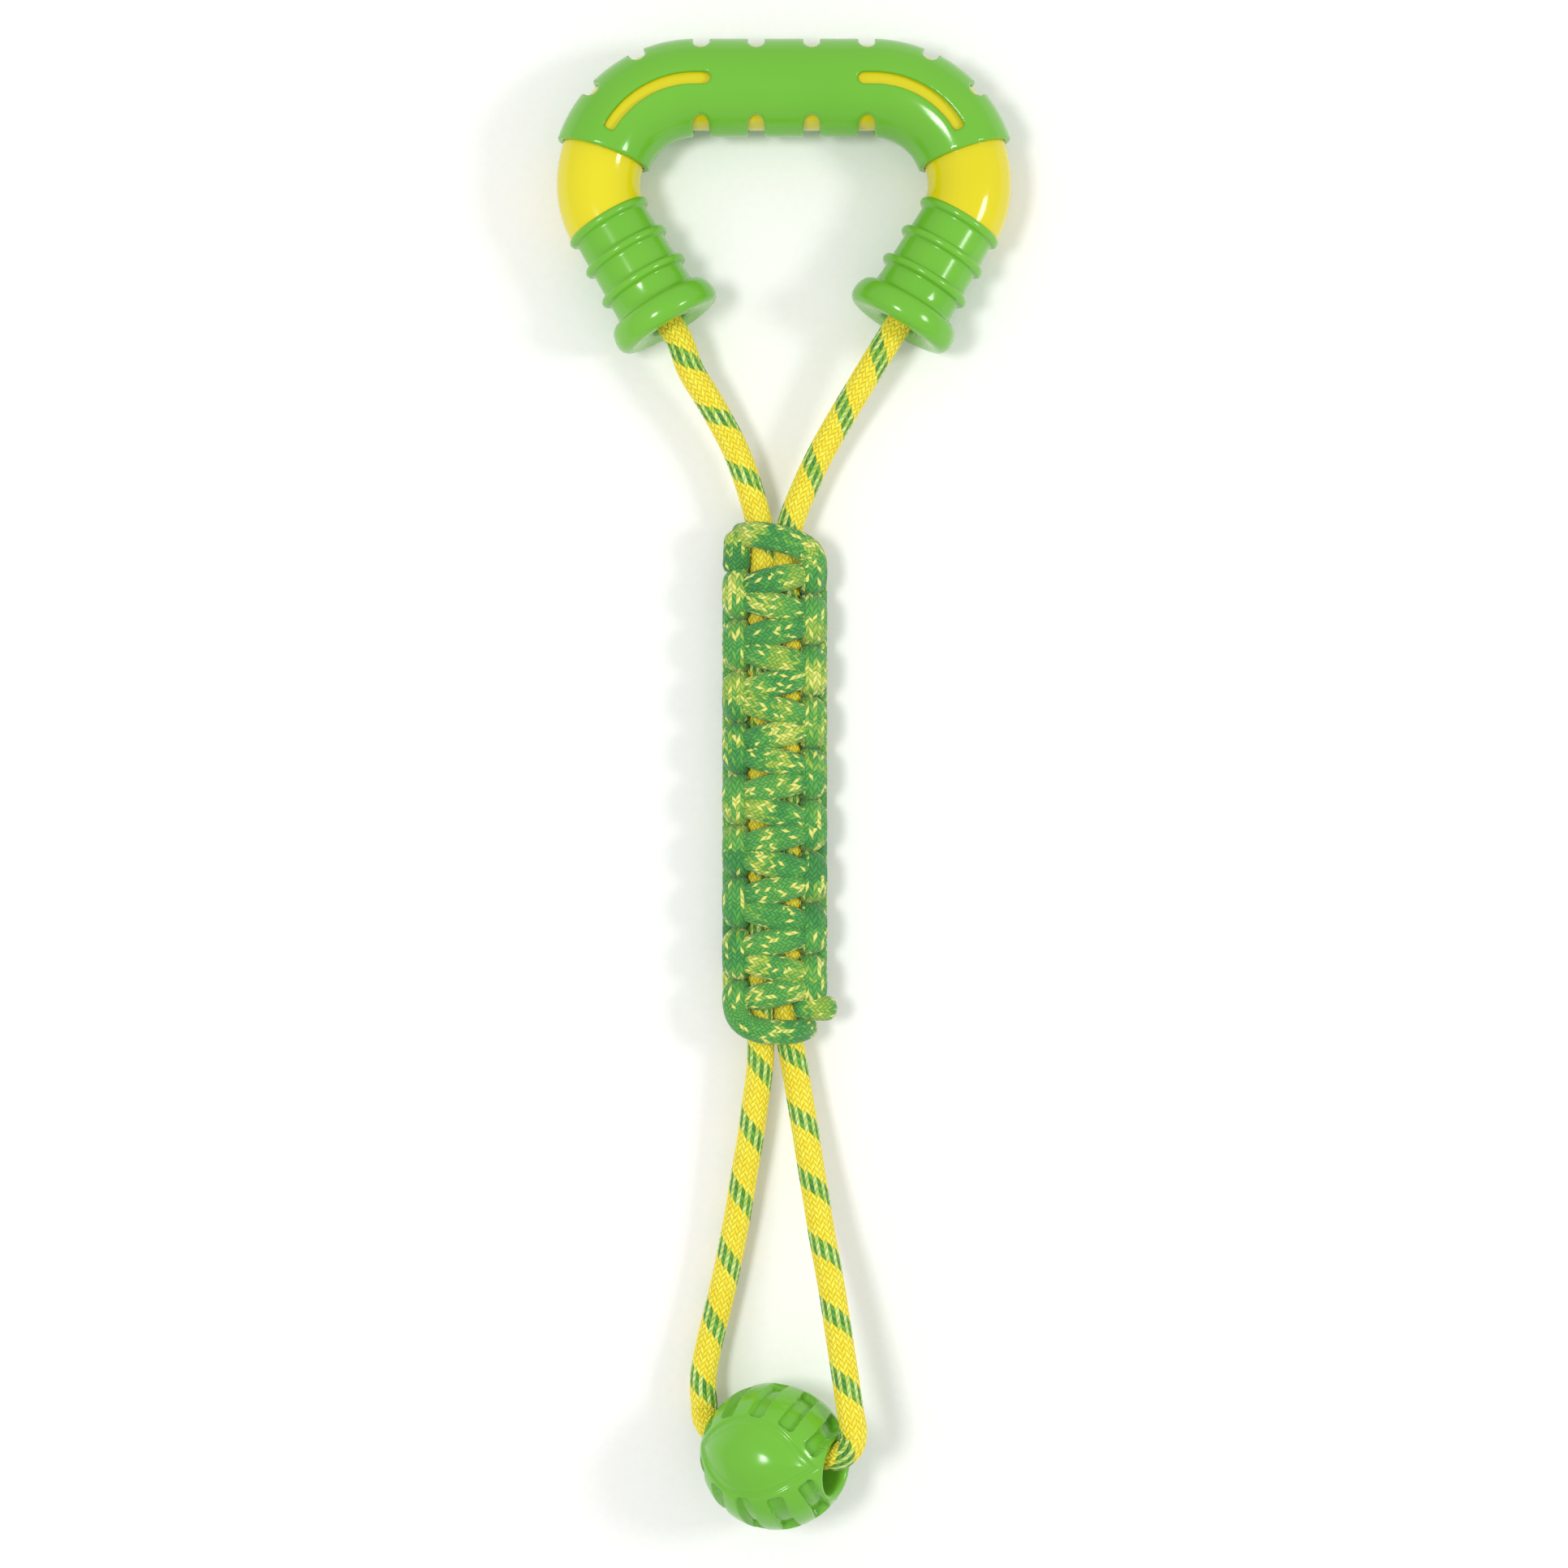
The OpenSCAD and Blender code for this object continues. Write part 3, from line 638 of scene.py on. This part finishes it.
# the cuffs: one outline turned about each leaning axis
cuff.update({
    # the ribbed body: where it runs along the axis and in what steps, its radius at the
    # first rib and how much it widens per mm
    "bodySpan": (-1.3, 24.95, 0.22),
    "bodyRadius": 12.97,
    "bodyWidens": 0.9 / 29.4,
    # each rib is a bead; its middle lies further out from rib to rib
    "ribs": 3,
    "ribPitch": 11.2,
    "ribRadius": 1.45,
    "ribMiddle": 13.4,
    "ribMiddleGrows": 0.5,
    "filletWidth": 0.8,
    "filletHeight": 0.35,
    "steps": 128,
    # radius and distance along the axis, from the last rib's far side round into the mouth
    "bell": [
        (13.72, 25.0), (13.86, 28.0), (14.0, 29.6), (14.35, 30.5), (15.0, 31.1), (15.2, 31.22),
        (16.5, 31.35), (17.4, 32.1), (18.1, 33.3), (18.55, 34.8), (18.8, 36.5),
        (18.65, 38.0), (18.1, 39.2), (17.1, 40.1), (15.8, 40.5), (14.2, 40.5), (12.0, 40.2), (9.6, 39.9),
        (8.0, 39.7), (7.0, 39.5), (6.45, 39.0), (6.2, 38.2), (6.2, 36.9), (6.2, 30.2), (11.05, 30.1),
        (11.05, 20.0), (11.05, 10.0), (11.05, 0.1), (13.9, 0.05), (13.95, -0.9), (14.1, -1.15)],
})


def ribbedOutline():
    # the body between the ribs, each rib a round bead with a small fillet at its foot
    outline = []
    for s in np.arange(*cuff["bodySpan"]):
        r = cuff["bodyRadius"] + cuff["bodyWidens"] * s
        for n in range(cuff["ribs"]):
            off = abs(s - n * cuff["ribPitch"]) - cuff["ribRadius"]
            if off < 0:
                bead = math.sqrt(cuff["ribRadius"] ** 2 - (off + cuff["ribRadius"]) ** 2)
                r = max(r, cuff["ribMiddle"] + cuff["ribMiddleGrows"] * n + bead)
            elif off < cuff["filletWidth"]:
                r += cuff["filletHeight"] * (1 - off / cuff["filletWidth"]) ** 2
        outline.append((r, s))
    return outline


def cuffPiece(name, side):
    bm = bmesh.new()
    a = math.radians(cuff["lean"])
    way = Vector((-side * math.sin(a), -math.cos(a), 0))
    out = Vector((side * math.cos(a), -math.sin(a), 0))
    start = Vector((side * cuff["start"][0], cuff["start"][1], cuff["start"][2])) * mm
    ring = [bm.verts.new(start + (way * s + out * r) * mm) for r, s in ribbedOutline() + cuff["bell"]]
    edges = [bm.edges.new(pair) for pair in zip(ring, ring[1:] + ring[:1])]
    bmesh.ops.spin(bm, geom=ring + edges, cent=start, axis=way, angle=2 * math.pi,
                   steps=cuff["steps"], use_merge=True)
    bmesh.ops.remove_doubles(bm, verts=bm.verts, dist=1e-6)
    bmesh.ops.recalc_face_normals(bm, faces=bm.faces)
    mesh = bpy.data.meshes.new(name)
    bm.to_mesh(mesh)
    bm.free()
    return placeMesh(name, mesh, greenRubber)


for name, side, node in (("cuffLeft", -1, "cuff_left"), ("cuffRight", 1, "cuff_right")):
    piece = cuffPiece(name, side)
    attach(piece, "handle")
    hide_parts(node)
print("sleeve and cuffs ready")

# the ball: its outline turned about the bore, then pressed in where the mould presses it
ball.update({
    "radius": 23.8,
    "half": 25.6,
    "around": 400,
    "outlineSteps": 74,
    "mouthStep": 0.8 * mm,
    # three rows of five pockets: degrees from one to the next, half size, and how far from
    # the ball's middle the floor is
    "pocketStep": 29,
    "pocketHalf": (2.7, 10.0),
    "pocketCorner": 1.3,
    "pocketWall": 0.45,
    "pocketFloor": 21.7,
    # each smooth panel is a lens between two lines: half width round the bore and half
    # length along it, in degrees, and the half width in mm
    "panelInner": (27, 54, 11.2),
    "panelOuter": (35.5, 62, 14.7),
    # the step down at the outer line, its width, then the dome inside the inner one: the
    # distance it takes to rise and what share of the step it makes up
    "panelDrop": 0.75,
    "panelEdge": 1.1,
    "domeRise": 9,
    "domeShare": 0.9,
    # a thin raised line follows the inner one: height and half width
    "line": (0.18, 0.45),
    # the mould's seam beyond each panel: height, half width and the span along, in degrees
    "seamHeight": 0.28,
    "seamWidth": 1.6,
    "seamSpan": (57, 62.5),
    "seamFade": 2,
    "mouth": [
        (0, 8.6), (8, 8.6), (16, 8.6), (19.5, 8.6), (21.0, 8.7), (22.0, 9.15), (22.55, 9.9), (22.5, 10.6)],
})


def smoothStep(x):
    x = np.clip(x, 0, 1)
    return x * x * (3 - 2 * x)


def fromLine(around, along, lens):
    # mm from a lens's outline, less than 0 inside it
    return (np.abs(around) / lens[0] + (along / lens[1]) ** 2 - 1) * lens[2]


def ballPiece():
    arc = (ball["half"] ** 2 + ball["radius"] ** 2) / (2 * ball["radius"])
    inner = smoothRoute([(x, r, 0) for x, r in ball["mouth"]], ball["mouthStep"])[:, :2] / mm
    outerX = np.linspace(ball["mouth"][-1][0], 0, ball["outlineSteps"])[1:]
    outer = np.stack([outerX, ball["radius"] - arc + np.sqrt(arc ** 2 - outerX ** 2)], axis=1)
    half = np.concatenate([inner, outer])
    loop = np.concatenate([half, (half[::-1] * (-1, 1))[1:]])
    rings, sides = len(loop), ball["around"]
    bm = bmesh.new()
    bmesh.ops.create_grid(bm, x_segments=rings - 1, y_segments=sides, size=1)
    mesh = bpy.data.meshes.new("ball")
    bm.to_mesh(mesh)
    bm.free()
    flat = np.zeros(len(mesh.vertices) * 3)
    mesh.vertices.foreach_get("co", flat)
    flat = flat.reshape(-1, 3)
    ring = np.rint((flat[:, 0] + 1) / 2 * (rings - 1)).astype(int)
    turn = (flat[:, 1] + 1) * math.pi
    x, r = loop[ring, 0], loop[ring, 1]
    outside = np.abs(np.arange(rings) - (rings - 1) / 2) < len(outer)
    outside = outside[ring]
    # the turn is measured from the front panel's middle
    press = np.zeros(len(x))
    along = np.degrees(np.arctan2(x, r))
    for n in range(3):
        middle = n * 2 * math.pi / 3
        around = np.degrees((turn - middle + math.pi) % (2 * math.pi) - math.pi)
        fromInner = fromLine(around, along, ball["panelInner"])
        fromOuter = fromLine(around, along, ball["panelOuter"])
        step = ball["panelDrop"] * smoothStep(-fromOuter / ball["panelEdge"])
        dome = ball["panelDrop"] * ball["domeShare"] * smoothStep(-fromInner / ball["domeRise"])
        line = ball["line"][0] * np.exp(-(fromInner / ball["line"][1]) ** 2)
        press = np.maximum(press, step - np.where(fromInner < 2, dome + line, 0))
        seam = ball["seamHeight"] * np.exp(-(around / ball["seamWidth"]) ** 2) \
            * smoothStep((np.abs(along) - ball["seamSpan"][0]) / ball["seamFade"]) \
            * smoothStep((ball["seamSpan"][1] - np.abs(along)) / ball["seamFade"])
        press = press - seam * outside
    floor = np.zeros(len(x))
    for row in range(3):
        a = turn - (row + 0.5) * 2 * math.pi / 3
        up, across = r * np.cos(a), r * np.sin(a)
        for n in range(-2, 3):
            b = math.radians(n * ball["pocketStep"])
            u = x * math.cos(b) - up * math.sin(b)
            height = x * math.sin(b) + up * math.cos(b)
            dx = np.abs(u) - (ball["pocketHalf"][0] - ball["pocketCorner"])
            dy = np.abs(across) - (ball["pocketHalf"][1] - ball["pocketCorner"])
            away = np.hypot(np.maximum(dx, 0), np.maximum(dy, 0)) + np.minimum(np.maximum(dx, dy), 0) \
                - ball["pocketCorner"]
            inside = smoothStep(0.5 - away / ball["pocketWall"]) * (height > 0)
            floor = np.maximum(floor, inside)
    size = np.hypot(x, r)
    deep = np.maximum(size - ball["pocketFloor"], 0) * floor
    scale = np.where(outside, (size - np.maximum(press, 0) * (1 - floor) - deep
                               + np.maximum(-press, 0)) / size, 1.0)
    x, r = x * scale, r * scale
    # the front panel faces up and left, square to the bore
    bore = ball["boreWay"].normalized()
    sideways = Vector((0, 0, 1)).cross(bore).normalized()
    front = bore.cross(sideways)
    turn = turn + math.radians(ball["roll"])
    points = np.outer(x, bore) + np.outer(r * np.cos(turn), front) + np.outer(r * np.sin(turn), sideways)
    mesh.vertices.foreach_set("co", ((points + np.array(ball["at"])) * mm).astype(np.float32).ravel())
    bm = bmesh.new()
    bm.from_mesh(mesh)
    bmesh.ops.remove_doubles(bm, verts=bm.verts, dist=1e-6)
    bmesh.ops.recalc_face_normals(bm, faces=bm.faces)
    bm.to_mesh(mesh)
    bm.free()
    return placeMesh("ball", mesh, greenRubber)


ballObject = ballPiece()
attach(ballObject, "ball")
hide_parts("ball")
print("ball ready")
